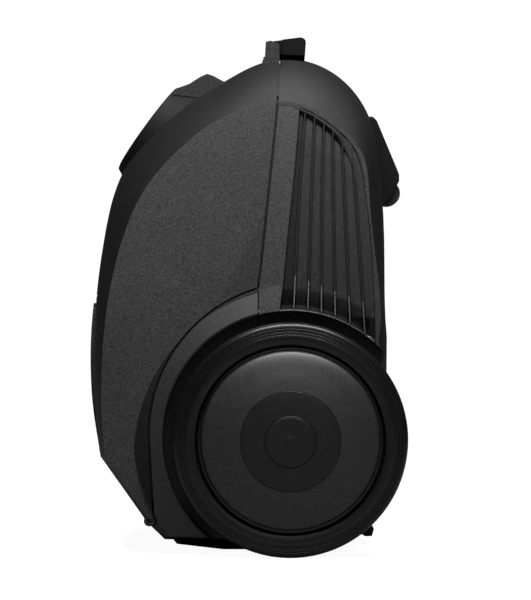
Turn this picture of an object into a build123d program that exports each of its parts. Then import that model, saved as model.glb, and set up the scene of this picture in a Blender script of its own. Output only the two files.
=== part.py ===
from build123d import *
import math
import os

# Canister vacuum cleaner body, parked on its rear end. Millimetres.
# +Z is up, which is the machine's front. +X is the machine's underside and -X its top.
# Y runs along the wheel axle. The origin is on the floor, at the middle of the outline.

# ---- driving dimensions -------------------------------------------------------------
WALL = 3.0                      # moulded shell thickness
CHEEK_SPHERE_R = 950.0          # the side cheeks are patches of this sphere
CHEEK_HALF_WIDTH = 104.0        # widest half-width of the body, at the cheek centre
CHEEK_X, CHEEK_Z = 10.0, 120.0
WHEEL_X, WHEEL_Z, WHEEL_R = 34.3, 88.4, 88.4
WELL_R = 96.6                   # wheel arch opening
WELL_FLOOR_Y = 84.4             # outer face of the wheel well's floor
WELL_WALL = 2.5
# lid seam in side view, from above the nose to the top of the wheel arch band
SEAM = [(28.4, 392.0), (27.8, 384.0), (24.2, 337.8), (19.5, 291.1), (15.7, 254.3), (11.9, 217.7), (10.2, 202.6)]
BAND_X, BAND_Z, BAND_R = 42.3, 91.9, 114.9   # outer arc of the wheel arch band
BAND_FOOT = (-69.2, 28.1)       # lower end of the band's outer edge
DECK_IN = (0.807, 0.5905)       # inward direction at the sloped rear deck
DECK_UP = (-0.5905, 0.807)      # up along the sloped rear deck
LID_GAP = 1.6                   # open gap along the lid's shut line
TIGHT_GAP = 0.4                 # gap between pieces screwed together
UNDER_LID = 5.0                 # inset of what lies under the lid
BULKHEAD_Z0, BULKHEAD_Z1 = 203.0, 206.5
SPINE_HALF = 46.0               # half-width of the fixed spine with handle and pedals
SPINE_TOP = 196.0
LID_HINGE = (-72.6, 25.6)
INLET_FACE = (-78.0, 330.5)     # centre of the hose inlet's flat face
INLET_OUT = (-0.807, 0.5905)    # outward direction of the hose axis
INLET_BORE_R = 19.0
CASTER_Z = 303.5                # caster swivel axis, along X
CASTER_X = 90.5                 # floor of the caster's pocket
CASTER_POCKET_R = 38.5
ROLLER_X, ROLLER_Z, ROLLER_R = 112.3, 278.0, 10.2
MOTOR_X = 38.0                  # motor axis, along Z
REEL_X0, REEL_X1, REEL_Z, REEL_R = -62.0, -36.6, 92.0, 57.0
PEDAL_TRAVEL = 4.0
PANEL_GAP = 0.15                # between the side panels and what they are screwed to
RUN = 0.05                      # radial running clearance

# Side outlines, from the rear corner up the top side, over the nose and down the underside:
# (x, z) at the centre plane, (x, z) at the cheek's edge, and how late the crown turns down.
OUTLINE = [
    ((-62.0, 8.0), (-60.6, 14.0), 5),
    ((-76.0, 21.5), (-73.6, 26.3), 5),
    ((-113.0, 72.0), (-106.5, 75.0), 4),
    ((-117.6, 110.0), (-109.0, 110.0), 3),
    ((-118.6, 150.0), (-108.3, 150.0), 3),
    ((-117.2, 200.0), (-103.6, 196.0), 2.8),
    ((-112.2, 240.0), (-94.0, 237.0), 2.6),
    ((-103.0, 281.0), (-73.0, 283.0), 2.6),
    ((-69.7, 332.3), (-46.8, 311.8), 2.6),
    ((-18.6, 365.7), (-14.0, 334.4), 2.6),
    ((13.3, 381.6), (8.0, 342.3), 2.6),
    ((30.0, 384.6), (24.3, 345.6), 2.6),
    ((47.6, 383.0), (42.6, 344.0), 2.6),
    ((73.5, 370.4), (71.2, 327.0), 2.8),
    ((95.6, 342.0), (89.8, 305.4), 3.4),
    ((105.0, 300.0), (94.8, 276.6), 4.5),
    ((108.2, 240.0), (98.8, 231.5), 6),
    ((110.0, 165.0), (101.8, 165.0), 6),
    ((109.2, 75.0), (102.0, 78.0), 6),
    ((70.0, 8.0), (66.0, 14.0), 6),
]
SECTIONS_Y = (-106, -96, -84, -68, -48, -24, 0, 24, 48, 68, 84, 96, 106)

OUT = "parts"


# ---- small helpers ------------------------------------------------------------------
def at(x, z, y=0.0):
    return Vector(x, y, z)


def line(a, b, y=0.0):
    return Edge.make_line(at(*a, y), at(*b, y))


def curve(points, y=0.0):
    return Edge.make_spline([at(x, z, y) for x, z in points])


def arc(a, middle, b, y=0.0):
    return Edge.make_three_point_arc(at(*a, y), at(*middle, y), at(*b, y))


def prism(outline, y0, y1):
    """A side outline, as points or as edges in the plane Y = 0, pulled from y0 to y1."""
    if isinstance(outline[0], tuple):
        outline = [line(a, b) for a, b in zip(outline, outline[1:] + outline[:1])]
    face = Face(Wire(outline))
    solid = Solid.extrude(face, Vector(0, y1 - y0, 0))
    return solid.moved(Location((0, y0, 0)))


def block(x0, x1, y0, y1, z0, z1):
    return Solid.make_box(x1 - x0, y1 - y0, z1 - z0).moved(Location((x0, y0, z0)))


def rod(start, end, radius):
    a, b = Vector(*start), Vector(*end)
    return Solid.make_cylinder(radius, (b - a).length, Plane(origin=a, z_dir=b - a))


def tube(start, end, outer, inner):
    return rod(start, end, outer) - rod(start, end, inner)


def cone(start, end, r_start, r_end):
    a, b = Vector(*start), Vector(*end)
    return Solid.make_cone(r_start, r_end, (b - a).length, Plane(origin=a, z_dir=b - a))


def turned(profile, x, z, side):
    """Points (radius, |y|) turned about the wheel axis, on the side +1 or -1."""
    points = [Vector(x + r, side * y, z) for r, y in profile]
    face = Face(Wire.make_polygon(points, close=True))
    return Solid.revolve(face, 360, Axis((x, 0, z), (0, 1, 0)))


def spun(profile, x):
    """Points (radius, z) turned about the vertical axis at x."""
    points = [Vector(x + r, 0, z) for r, z in profile]
    face = Face(Wire.make_polygon(points, close=True))
    return Solid.revolve(face, 360, Axis((x, 0, 0), (0, 0, 1)))


def both_sides(solid):
    return [solid, solid.mirror(Plane.XZ)]


def join(*shapes):
    flat = []
    for shape in shapes:
        flat += list(shape) if isinstance(shape, (list, tuple)) else [shape]
    first, rest = flat[0], flat[1:]
    return first.fuse(*rest) if rest else first


def cut(shape, *tools):
    flat = []
    for tool in tools:
        flat += list(tool) if isinstance(tool, (list, tuple)) else [tool]
    return shape.cut(*flat)


def keep(shape, *tools):
    for tool in tools:
        shape = shape & tool
    return shape


def write(name, *shapes):
    found = []
    for shape in shapes:
        for part in (shape if isinstance(shape, (list, tuple)) else [shape]):
            found += [s for s in part.solids() if s.volume > 1.0]
    if not found:
        raise ValueError(f"{name} has no solid")
    whole = found[0] if len(found) == 1 else Compound(found)
    export_step(whole, os.path.join(OUT, f"{name}.step"))
    return whole


def along_inlet(depth, across=0.0):
    """A side-view point at a depth inside the inlet's face, and a distance across its axis."""
    nx, nz = INLET_OUT
    return (INLET_FACE[0] - nx * depth + nz * across, INLET_FACE[1] - nz * depth - nx * across)


# ---- the body's outer form ----------------------------------------------------------
def cheek_half_width(x, z):
    sag = CHEEK_SPHERE_R**2 - (x - CHEEK_X) ** 2 - (z - CHEEK_Z) ** 2
    return math.sqrt(sag) - (CHEEK_SPHERE_R - CHEEK_HALF_WIDTH)


def inset(points, distance):
    """A closed outline moved inwards by a distance, point by point, along its own normals."""
    moved = []
    count = len(points)
    for i, (x, z) in enumerate(points):
        before, after = points[i - 1], points[(i + 1) % count]
        d1 = math.hypot(x - before[0], z - before[1])
        d2 = math.hypot(after[0] - x, after[1] - z)
        n1 = ((z - before[1]) / d1, -(x - before[0]) / d1)
        n2 = ((after[1] - z) / d2, -(after[0] - x) / d2)
        nx, nz = n1[0] + n2[0], n1[1] + n2[1]
        scale = 2.0 * distance / (nx * nx + nz * nz)
        moved.append((x + nx * scale, z + nz * scale))
    return moved


def section_wire(centre, edge, y):
    points = []
    for (xs, zs), (xe, ze), (_, (ex, ez), late) in zip(centre, edge, OUTLINE):
        share = (abs(y) / cheek_half_width(ex, ez)) ** late
        points.append((xs + (xe - xs) * share, zs + (ze - zs) * share))
    edges = [
        line(points[0], points[1], y),
        line(points[1], points[2], y),
        curve(points[2:18], y),
        line(points[17], points[18], y),
        line(points[18], points[19], y),
        line(points[19], points[0], y),
    ]
    return Wire(edges)


def body_form(distance):
    """The whole body as one solid, its surface moved inwards by a distance."""
    centre = inset([p[0] for p in OUTLINE], distance) if distance else [p[0] for p in OUTLINE]
    edge = inset([p[1] for p in OUTLINE], distance) if distance else [p[1] for p in OUTLINE]
    solid = Solid.make_loft([section_wire(centre, edge, y) for y in SECTIONS_Y])
    offset = CHEEK_SPHERE_R - CHEEK_HALF_WIDTH
    for side in (-1, 1):
        ball = Solid.make_sphere(CHEEK_SPHERE_R - distance)
        solid = solid & ball.moved(Location((CHEEK_X, side * offset, CHEEK_Z)))
    return solid.solids()[0]


def wheel_disc(radius, y0, y1):
    return both_sides(rod((WHEEL_X, y0, WHEEL_Z), (WHEEL_X, y1, WHEEL_Z), radius))


def arch_flare(side):
    """The wheel arch band stands out from the cheek as a shallow cone."""
    inner, outer = WELL_R - 1.0, BAND_R + 3.5
    profile = [(inner, 90.0), (inner, 106.0), (WELL_R + 1.5, 106.6), (outer, 98.6), (outer, 90.0)]
    ring = turned(profile, WHEEL_X, WHEEL_Z, side)
    return keep(ring, block(-100, 28, -130, 130, 14, 230))


# ---- side-view regions --------------------------------------------------------------
def band_top(x, radius):
    return BAND_Z + math.sqrt(radius**2 - (x - BAND_X) ** 2)


def band_edge(radius, x_end, gap):
    """The wheel arch band's outer edge, from x_end near its top round to its foot."""
    top = (x_end, band_top(x_end, radius))
    turn = math.radians(143)
    middle = (BAND_X + radius * math.cos(turn), BAND_Z + radius * math.sin(turn))
    left = (BAND_X - radius, BAND_Z)
    foot = (BAND_FOOT[0] + gap, BAND_FOOT[1])
    return top, foot, [arc(top, middle, left), line(left, foot)]


def lid_region(gap):
    """Everything the lid may fill, in side view, set back by a gap from its neighbours."""
    seam = [(x - gap, z) for x, z in SEAM[:-1]]
    top, foot, edge = band_edge(BAND_R + gap, SEAM[-1][0] - gap, -gap)
    low = (foot[0] - 0.809 * 110, foot[1] - 0.587 * 110 + 0.5)
    far = [(-220, low[1]), (-220, 430), (SEAM[0][0] - gap, 430), seam[0]]
    edges = [curve(seam + [top])] + edge + [line(foot, low), line(low, far[0])]
    edges += [line(a, b) for a, b in zip(far, far[1:])]
    return prism(edges, -130, 130)


def cover_region(gap, wall=0.0):
    """What the motor cover may fill: inside the band's outer edge and behind the chassis."""
    x_end = 9.8 + wall
    top, foot, edge = band_edge(BAND_R - gap - wall, x_end, gap + wall)
    start = (foot[0], foot[1] - 1.2 - wall)
    low = (start[0] - 0.809 * 110, start[1] - 0.587 * 110)
    far = [low, (low[0], -80), (x_end, -80), top]
    edges = edge + [line(foot, start)] + [line(a, b) for a, b in zip([start] + far, far)]
    return prism(edges, -130, 130)


def spine_region(wall=0.0):
    half = SPINE_HALF - wall
    return block(-200, 9.8 + wall, -half, half, -60, SPINE_TOP - wall)


def chassis_region(gap):
    seam = [(x + gap, z) for x, z in SEAM]
    corners = [seam[-1], (10.2, 201.5), (10.2, -60), (200, -60), (200, 430), (seam[0][0], 430), seam[0]]
    edges = [curve(seam)] + [line(a, b) for a, b in zip(corners, corners[1:])]
    return prism(edges, -130, 130)


GRILLE_EDGE = [
    (42.0, 341.2), (55.2, 335.2), (69.6, 324.8), (81.0, 313.4), (86.8, 303.0), (89.9, 291.5),
    (91.8, 277.5), (93.9, 260.4), (96.5, 231.3), (98.0, 202.3), (98.6, 186.3), (99.0, 150.0),
]


def grille_region(gap):
    """The grained side panel: from the lid's seam to a curve behind the underside's edge."""
    seam = [(x + 0.45 + gap, z) for x, z in SEAM[2:]]
    seam[0] = (seam[0][0] + 0.45, 343.0 - gap)
    outer = [(x - gap, z - gap) for x, z in GRILLE_EDGE]
    low = [(outer[-1][0], 120.0), (10.2 + gap, 120.0), (10.2 + gap, 201.5), seam[-1]]
    edges = [curve(seam), line(seam[0], outer[0]), curve(outer), line(outer[-1], low[0])]
    edges += [line(a, b) for a, b in zip(low, low[1:])]
    return prism(edges, -130, 130)


# ---- shells -------------------------------------------------------------------------
def hollow(outer, inner):
    """A shell with the wheel wells left standing in it as cups."""
    cups = wheel_disc(WELL_R + WELL_WALL, WELL_FLOOR_Y - WELL_WALL, 130)
    return cut(outer, cut(inner, cups), wheel_disc(WELL_R, WELL_FLOOR_Y, 130))


def hinge_rods(radius, spans):
    x, z = LID_HINGE
    rods = []
    for y0, y1 in spans:
        rods += both_sides(rod((x, y0, z), (x, y1, z), radius))
    return rods


def light_lip():
    """A rebate under the lid's edge, so that its gap isn't open to the inside."""
    skin = cut(body_form(WALL + 0.4), body_form(WALL + 1.9))
    strip = cut(cover_region(-3.5), cover_region(0.8, 2.4))
    cheeks = both_sides(block(-140, 9.8, 60, 130, 42, 210))
    return [keep(skin, strip, cheek) for cheek in cheeks]


def motor_cover(form, inner):
    outer = join(keep(form, cover_region(0.8)), keep(form, spine_region()))
    core = join(keep(inner, cover_region(0.8, 2.5)), keep(inner, spine_region(2.6)))
    cover = join(hollow(outer, core), light_lip())
    # finger recess under the carrying handle, and the sunk deck around the pedals
    grip = [(-140, 88), (-104, 88), (-90, 98), (-86, 120), (-86, 145), (-90, 165), (-104, 176), (-140, 176)]
    around = [(-140, 85.4), (-103, 85.4), (-87.6, 96.6), (-83.4, 119.6)]
    around += [(-83.4, 145.4), (-87.6, 166.4), (-103, 178.6), (-140, 178.6)]
    cover = join(cover, keep(form, prism(around, -43.0, 43.0)))
    cover = cut(cover, prism(grip, -40.0, 40.0))
    deck = deck_block(9, 58, -41, 41, -4, 5)
    cover = join(cover, keep(form, deck_block(6.5, 60.5, -43.5, 43.5, 0, 7.6)))
    cover = cut(cover, deck)
    for side in (-1, 1):
        well = sorted((side * 2.6, side * 38.4))
        cover = cut(cover, deck_block(21.6, 53.4, *well, -4, 12))
    # knuckles of the lid's hinge, in a round pocket
    cover = cut(cover, hinge_rods(6.0, [(46.5, 110)]))
    x, z = LID_HINGE
    web = [(x - 1.0, z - 3.6), (x + 3.8, z + 1.4), (x + 13.5, z + 2.0)]
    web += [(x + 12.0, z - 13.0), (x + 5.5, z - 13.0)]
    ears = hinge_rods(4.2, [(60, 66), (82, 88)])
    ears += both_sides(prism(web, 60, 66)) + both_sides(prism(web, 82, 88))
    cover = join(cover, [keep(ear, join(form, hinge_rods(4.4, [(50, 95)]))) for ear in ears])
    cover = cut(cover, hinge_rods(2.0, [(55, 94)]))
    cover = cut(cover, rod(*GLAND_LINE, 7.0))
    # the groove that the handle lies in
    return cut(cover, block(-140, -109.5, -17.1, 17.1, 73.6, 191.3))


def deck_block(along0, along1, y0, y1, depth0, depth1):
    """A box on the sloped rear deck: along the slope from its foot, and in from its face."""
    foot = Vector(-76.0, y0, 21.5)
    up = Vector(DECK_UP[0], 0, DECK_UP[1])
    inward = Vector(DECK_IN[0], 0, DECK_IN[1])
    origin = foot + up * along0 + inward * depth0
    # the plane's own y direction is -Y, so the box is built from its far side
    plane = Plane(origin=origin + Vector(0, y1 - y0, 0), x_dir=up, z_dir=inward)
    return Solid.make_box(along1 - along0, y1 - y0, depth1 - depth0, plane)


GLAND_DEEP = (-61.0, -26.0, 23.0)
GLAND_OUT = (-73.2, -26.0, 10.4)
GLAND_LINE = (GLAND_DEEP, GLAND_OUT)


def caster_pocket(radius, x0):
    return rod((x0, 0, CASTER_Z), (140, 0, CASTER_Z), radius)


def chassis(form, inner, under):
    region = chassis_region(0.8)
    body = hollow(keep(form, region), keep(inner, chassis_region(-20)))
    right = keep(inner, chassis_region(1.2))
    floor = block(12, 140, -130, 130, BULKHEAD_Z0, BULKHEAD_Z1)
    shelf = block(-140, 20, -130, 130, BULKHEAD_Z0, BULKHEAD_Z1)
    liner = both_sides(block(12, 140, 70.0, 72.5, BULKHEAD_Z1 - 0.5, 400))
    posts = []
    for x, z in ((34.0, 322.0), (84.0, 280.0), (90.0, 222.0), (22.0, 222.0)):
        posts += both_sides(rod((x, 72, z), (x, 110, z), 4.0))
    inside = [keep(right, floor), keep(under, shelf)]
    inside += [keep(right, wall) for wall in liner + posts]
    inside.append(keep(form, caster_pocket(41.0, 88.0)))
    inside.append(rod((79, 0, CASTER_Z), (89, 0, CASTER_Z), 9.0))
    inside += both_sides(rod((WHEEL_X, 66, WHEEL_Z), (WHEEL_X, 83, WHEEL_Z), 14.0))
    inside.append(tube((MOTOR_X, 0, 10), (MOTOR_X, 0, 42), 20.0, 16.0))
    body = join(body, inside)
    body = cut(body, caster_pocket(CASTER_POCKET_R, CASTER_X))
    body = cut(body, rod((70, 0, CASTER_Z), (95, 0, CASTER_Z), 4.0))
    body = cut(body, rod((WHEEL_X, -90, WHEEL_Z), (WHEEL_X, 90, WHEEL_Z), 6.0))
    # air ways: to the fan through the filter, and from the motor to the side grilles
    body = cut(body, rod((MOTOR_X, 0, 200), (MOTOR_X, 0, 210), 21.0))
    body = cut(body, both_sides(block(30, 82, 76, 88, 200, 210)))
    # the side panels' openings, and the keeper's recess in the nose
    side = cut(grille_region(0.0), inner)
    body = cut(body, side)
    body = cut(body, prism([(33.4, 380.2), (47.6, 380.2), (47.6, 395), (33.4, 395)], -14.5, 14.5))
    body = cut(body, [rod((x, 0, 30), (x, 0, 5), 2.1) for x in (26.0, 50.0)])
    return body


def lid_shell(form, inner):
    notch = SPINE_HALF + 0.8
    region = cut(lid_region(0.8), block(-220, 40, -notch, notch, -60, SPINE_TOP + 1.6))
    skin = keep(cut(form, inner), region)
    brow = [(-60, 348), (-56, 359.2), (-44, 363.6), (-36, 368.8)]
    brow += [(-30.2, 371.4), (-25.5, 369.8), (-17, 365.2), (-22, 352)]
    face, base = along_point(-0.3), along_point(26)
    hump = cut(prism(brow, -27, 27), inner, cone(face, base, 40.4, 52.4))
    barrel = hinge_rods(4.2, [(48.5, 59.7), (66.3, 81.7), (88.3, 95.0)])
    slots = hinge_rods(5.0, [(59.5, 66.5), (81.5, 88.5)])
    skin = join(skin, hump, barrel, latch_ears())
    skin = cut(skin, slots, hinge_rods(1.85, [(40, 110)]))
    near, deep = along_inlet(-30), along_inlet(40)
    skin = cut(skin, rod((near[0], 0, near[1]), (deep[0], 0, deep[1]), 26.3))
    return cut(skin, rod((20.5, -27, 390.5), (20.5, 27, 390.5), 1.6))


def latch_ears():
    ear = [(12.6, 378.0), (13.3, 381.9), (15.2, 384.6), (15.9, 396.5)]
    ear += [(20, 397.4), (26.5, 394.0), (26.8, 383.0), (25.0, 380.0)]
    return both_sides(prism(ear, 24.4, 28.0)) + [prism([(14, 380), (14, 384.8), (26, 384.8), (26, 381)], -26, 26)]


def grille(form, behind, side):
    panel = keep(cut(form, behind), grille_region(0.35))
    panel = cut(panel, wheel_disc(WELL_R, 50, 130))
    panel = keep(panel, block(-200, 200, *sorted((side * 40, side * 130)), 0, 400))
    return cut(panel, louvre_slots())


def louvre_slots():
    tops = ((45.4, 334.0), (53.2, 330.5), (60.4, 325.5), (67.2, 320.0), (73.9, 313.5), (80.6, 305.0))
    mids = (41.1, 50.5, 58.7, 67.3, 76.0, 84.7)
    lows = (37.4, 48.0, 58.1, 68.4, 79.1, 89.5)
    slots = []
    for (xt, zt), xm, xl in zip(tops, mids, lows):
        left = [(xt - 0.5, zt), (xm - 0.8, 268.0), (xl - 1.1, 207.0), (xl - 3.0, 201.0), (xl - 3.2, 160.0)]
        right = [(xt + 0.5, zt), (xm + 0.8, 268.0), (xl + 1.1, 207.0), (xl + 3.0, 201.0), (xl + 3.2, 160.0)]
        slots.append(prism(left + right[::-1], -130, 130))
    return slots


# ---- lid furniture ------------------------------------------------------------------
def hose_inlet(form):
    """The hose socket: a slanted collar on the lid and the spigot that goes through it."""
    face, deep = along_point(0), along_point(26)
    collar = cone(face, deep, 40.0, 52.0)
    rim = [e for e in collar.edges() if e.geom_type == GeomType.CIRCLE and abs(e.radius - 40.0) < 0.1]
    collar = cut(collar.fillet(2.0, rim), form)
    spigot = rod(face, deep, 26.0)
    whole = join(collar, cut(spigot, rod(face, along_point(1.0), 26.5)))
    mouth, end = along_point(-5), along_point(30)
    whole = cut(whole, rod(mouth, end, INLET_BORE_R))
    chamfer_in = cone(along_point(-0.01), along_point(2.5), INLET_BORE_R + 2.5, INLET_BORE_R)
    return cut(whole, chamfer_in).solids()[0]


def along_point(depth, across=0.0, y=0.0):
    x, z = along_inlet(depth, across)
    return (x, y, z)


def inlet_seal():
    ring = tube(along_point(26.0), along_point(32.6), 26.0, 20.0)
    lip = cone(along_point(28.0), along_point(32.7), 20.0, 22.5)
    return cut(ring, lip)


def slab_across(depth0, depth1, half, half_y):
    near = [along_inlet(depth0, -half), along_inlet(depth0, half)]
    corners = near + [along_inlet(depth1, half), along_inlet(depth1, -half)]
    return prism(corners, -half_y, half_y)


def bag_holder():
    plate = slab_across(29.8, 32.8, 35.0, 50.0)
    plate = cut(plate, rod(along_point(20), along_point(40), 30.0))
    strut = [along_inlet(30.0, 33.0), along_inlet(32.8, 33.0)]
    strut += [(18.0, 352.0), (31.5, 356.0), (31.5, 366.0), (8.0, 361.0)]
    strut = prism(strut, -14.0, 14.0)
    foot = block(29.4, 34.4, -24, 24, 352.0, 373.5)
    hooks = both_sides(slab_hook(46.5))
    return join(plate, strut, foot, hooks)


def slab_hook(y):
    """A guide that the bag's collar plate slides behind."""
    corners = [along_inlet(32.8, -34), along_inlet(32.8, 30), along_inlet(37.0, 30), along_inlet(37.0, -34)]
    rail = prism(corners, y, y + 3.0)
    lip = [along_inlet(35.4, -34), along_inlet(35.4, 30), along_inlet(37.0, 30), along_inlet(37.0, -34)]
    return join(rail, prism(lip, y - 3.0, y + 0.5))


def bag_collar():
    corners = [along_inlet(33.1, -37), along_inlet(33.1, 31), along_inlet(34.9, 31), along_inlet(34.9, -37)]
    return cut(prism(corners, -46.2, 46.2), rod(along_point(30), along_point(40), 20.5))


def dust_bag():
    ball = Solid.make_sphere(1.0)
    stretched = scale(ball, (70.0, 62.0, 59.0)).moved(Location((6.0, 0, 280.0)))
    near = [along_inlet(35.3, -120), along_inlet(35.3, 120)]
    beyond = prism(near + [along_inlet(260, 120), along_inlet(260, -120)], -90, 90)
    bag = keep(stretched, beyond)
    near = [along_inlet(30, -40), along_inlet(30, 36)]
    rails = both_sides(prism(near + [along_inlet(37.6, 36), along_inlet(37.6, -40)], 42.6, 60))
    return cut(bag, rails)


def lid_seal():
    """Rubber gasket round the rim of the bag compartment, in the chassis mouth."""
    ring = cut(body_form(WALL + 0.4), body_form(6.4))
    left = [(x - 3.5, z) for x, z in SEAM]
    right = [(x + 5.4, z) for x, z in SEAM]
    ends = [line(left[-1], right[-1]), line(right[0], left[0])]
    strip = prism([curve(left), ends[0], curve(right[::-1]), ends[1]], -130, 130)
    seal = keep(ring, strip, block(-50, 80, -130, 130, BULKHEAD_Z1, 400))
    posts = both_sides(rod((22.0, 72, 222.0), (22.0, 110, 222.0), 4.3))
    liner = both_sides(block(12, 140, 69.7, 72.8, BULKHEAD_Z1 - 1, 400))
    return cut(seal, liner, posts)


def latch_lever():
    outline = [
        line((17.0, 386.6), (16.2, 396.6)),
        line((16.2, 396.6), (43.8, 400.0)),
        arc((43.8, 400.0), (46.6, 398.8), (47.5, 396.0)),
        line((47.5, 396.0), (46.6, 382.7)),
        line((46.6, 382.7), (42.0, 382.7)),
        line((42.0, 382.7), (40.6, 385.7)),
        line((40.6, 385.7), (28.0, 386.6)),
        line((28.0, 386.6), (17.0, 386.6)),
    ]
    lever = prism(outline, -24.1, 24.1)
    lever = cut(lever, both_sides(block(39, 50, 13.2, 30, 380, 385.6)))
    wing = [(29.0, 386.4), (29.0, 398.2), (43.8, 400.0), (46.8, 397.8), (46.6, 385.7), (40.6, 385.7)]
    wings = prism(wing, -28, 28)
    lever = join(lever, wings)
    lever = cut(lever, block(15, 26, -9.0, 9.0, 380, 395.0))
    return cut(lever, rod((20.5, -30, 390.5), (20.5, 30, 390.5), 1.65))


def latch_spring():
    return tube((20.5, -7.5, 390.5), (20.5, 7.5, 390.5), 3.4, 1.9)


def latch_keeper():
    outline = [(33.8, 380.4), (33.8, 383.5), (41.0, 381.8), (47.3, 381.8), (47.3, 380.4)]
    return prism(outline, -14.2, 14.2)


# ---- handle, pedals, grilles --------------------------------------------------------
def carry_handle():
    outer = [(-115.9, 73.8), (-118.3, 90.0), (-120.9, 110.0), (-122.4, 133.0), (-122.7, 152.0), (-120.6, 191.0)]
    inner = [(-111.5, 191.0), (-112.2, 175.0), (-113.4, 150.0), (-113.2, 130.0), (-111.8, 100.0), (-109.8, 88.0)]
    heel = (-109.8, 73.8)
    edges = [curve(outer), line(outer[-1], inner[0]), curve(inner), line(inner[-1], heel), line(heel, outer[0])]
    bar = prism(edges, -16.8, 16.8)
    bar = cut(bar, both_sides(edge_round()))
    feet = [block(-116, -109.8, -13.0, 13.0, 73.8, 84.2), block(-117, -109.8, -13.0, 13.0, 179.8, 191.0)]
    return join(bar, feet)


def edge_round():
    """What is taken off the grip's side to make it narrow towards both ends."""
    low, middle, high = Vector(-130, 9.0, 70), Vector(-130, 16.8, 132), Vector(-130, 9.0, 196)
    corners = [high, Vector(-130, 40, 196), Vector(-130, 40, 70), low]
    edges = [Edge.make_three_point_arc(low, middle, high)]
    edges += [Edge.make_line(a, b) for a, b in zip(corners, corners[1:])]
    return Solid.extrude(Face(Wire(edges)), Vector(30, 0, 0))


def pedal(side, ribs):
    y0, y1 = sorted((side * 3.0, side * 38.0))
    cap = deck_block(22.0, 53.0, y0, y1, 0.0, 9.0)
    cap = cut(cap, deck_block(24.5, 50.5, y0 + 2.5, y1 - 2.5, 3.0, 10.0))
    middle = (y0 + y1) / 2
    stem = deck_block(34.5, 40.5, middle - 3, middle + 3, 2.5, 12.0)
    grooves = [deck_block(27 + 4 * i, 28.2 + 4 * i, y0 + 5, y1 - 5, -1, 0.7) for i in range(ribs)]
    flanges = [deck_block(20.0, 22.5, middle - 8, middle + 8, 7.8, 9.8)]
    flanges.append(deck_block(52.5, 55.0, middle - 8, middle + 8, 7.8, 9.8))
    return join(cut(cap, grooves), stem, flanges)


# ---- inside -------------------------------------------------------------------------
def fan_cover():
    outer = [(0, 128), (54, 128), (56, 132), (56, 156), (50, 163), (22, 166), (22, 200.5), (0, 200.5)]
    inner = [(0, 125), (38.3, 125), (38.3, 130.5), (53.5, 130.5), (53.5, 155)]
    inner += [(49, 160.5), (19.5, 163.5), (19.5, 203), (0, 203)]
    shell = cut(spun(outer, MOTOR_X), spun(inner, MOTOR_X))
    ports = [block(MOTOR_X + 30, MOTOR_X + 70, -9, 9, 136, 150), block(MOTOR_X - 70, MOTOR_X - 30, -9, 9, 136, 150)]
    return cut(shell, ports)


def motor_can():
    outer = [(0, 58), (30, 58), (38, 62), (38, 128), (0, 128)]
    inner = [(0, 61), (28, 61), (35.6, 64), (35.6, 125.6), (0, 125.6)]
    can = cut(spun(outer, MOTOR_X), spun(inner, MOTOR_X))
    bearings = [tube((MOTOR_X, 0, 60), (MOTOR_X, 0, 68), 9, 4 + RUN)]
    bearings.append(tube((MOTOR_X, 0, 119), (MOTOR_X, 0, 127.9), 9, 4 + RUN))
    can = cut(join(can, bearings), rod((MOTOR_X, 0, 50), (MOTOR_X, 0, 130), 4 + RUN))
    stator = tube((MOTOR_X, 0, 80), (MOTOR_X, 0, 110), 35.6, 25.0)
    vents = [block(MOTOR_X - 60, MOTOR_X + 60, -5, 5, 66, 75), block(MOTOR_X - 5, MOTOR_X + 5, -60, 60, 66, 75)]
    return cut(join(can, stator), vents)


def rotor_shaft():
    shaft = rod((MOTOR_X, 0, 59.0), (MOTOR_X, 0, 156.0), 4.0)
    core = rod((MOTOR_X, 0, 80), (MOTOR_X, 0, 110), 24.0)
    commutator = rod((MOTOR_X, 0, 70), (MOTOR_X, 0, 78), 11.0)
    return join(shaft, core, commutator)


def impeller():
    plate = rod((MOTOR_X, 0, 133.0), (MOTOR_X, 0, 134.5), 50.0)
    cover = spun([(18, 152.5), (50, 144.5), (50, 146.0), (18, 154.0)], MOTOR_X)
    hub = rod((MOTOR_X, 0, 133.0), (MOTOR_X, 0, 152.0), 9.0)
    blades = []
    for i in range(7):
        blade = prism([(14, 134.0), (49, 134.0), (49, 145.2), (19, 152.8), (14, 152.8)], -0.7, 0.7)
        blades.append(blade.rotate(Axis.Z, i * 360 / 7).moved(Location((MOTOR_X, 0, 0))))
    whole = join(plate, hub, cover, blades)
    return cut(whole, rod((MOTOR_X, 0, 130), (MOTOR_X, 0, 155), 4.0))


def reel_drum():
    left = rod((REEL_X0, 0, REEL_Z), (REEL_X0 + 2.0, 0, REEL_Z), REEL_R)
    right = rod((REEL_X1 - 2.0, 0, REEL_Z), (REEL_X1, 0, REEL_Z), REEL_R)
    barrel = tube((REEL_X0, 0, REEL_Z), (REEL_X1, 0, REEL_Z), 22.0, 18.0)
    web = rod((REEL_X0, 0, REEL_Z), (REEL_X0 + 3.0, 0, REEL_Z), 20.0)
    hub = rod((REEL_X0, 0, REEL_Z), (REEL_X1, 0, REEL_Z), 8.0)
    windows = []
    for i in range(6):
        hole = rod((REEL_X0 - 5, 0, REEL_Z + 41), (REEL_X1 + 5, 0, REEL_Z + 41), 11.0)
        windows.append(hole.rotate(Axis((0, 0, REEL_Z), (1, 0, 0)), 60 * i))
    drum = cut(join(left, right, barrel, web, hub), windows)
    return cut(drum, rod((REEL_X0 - 5, 0, REEL_Z), (REEL_X1 + 5, 0, REEL_Z), 5 + RUN))


def reel_bracket(inner):
    plate = block(-30.0, -27.0, -81.0, 81.0, 24.0, 158.0)
    plate = keep(plate, inner)
    return cut(plate, rod((-40, 0, REEL_Z), (-20, 0, REEL_Z), 5.0))


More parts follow.
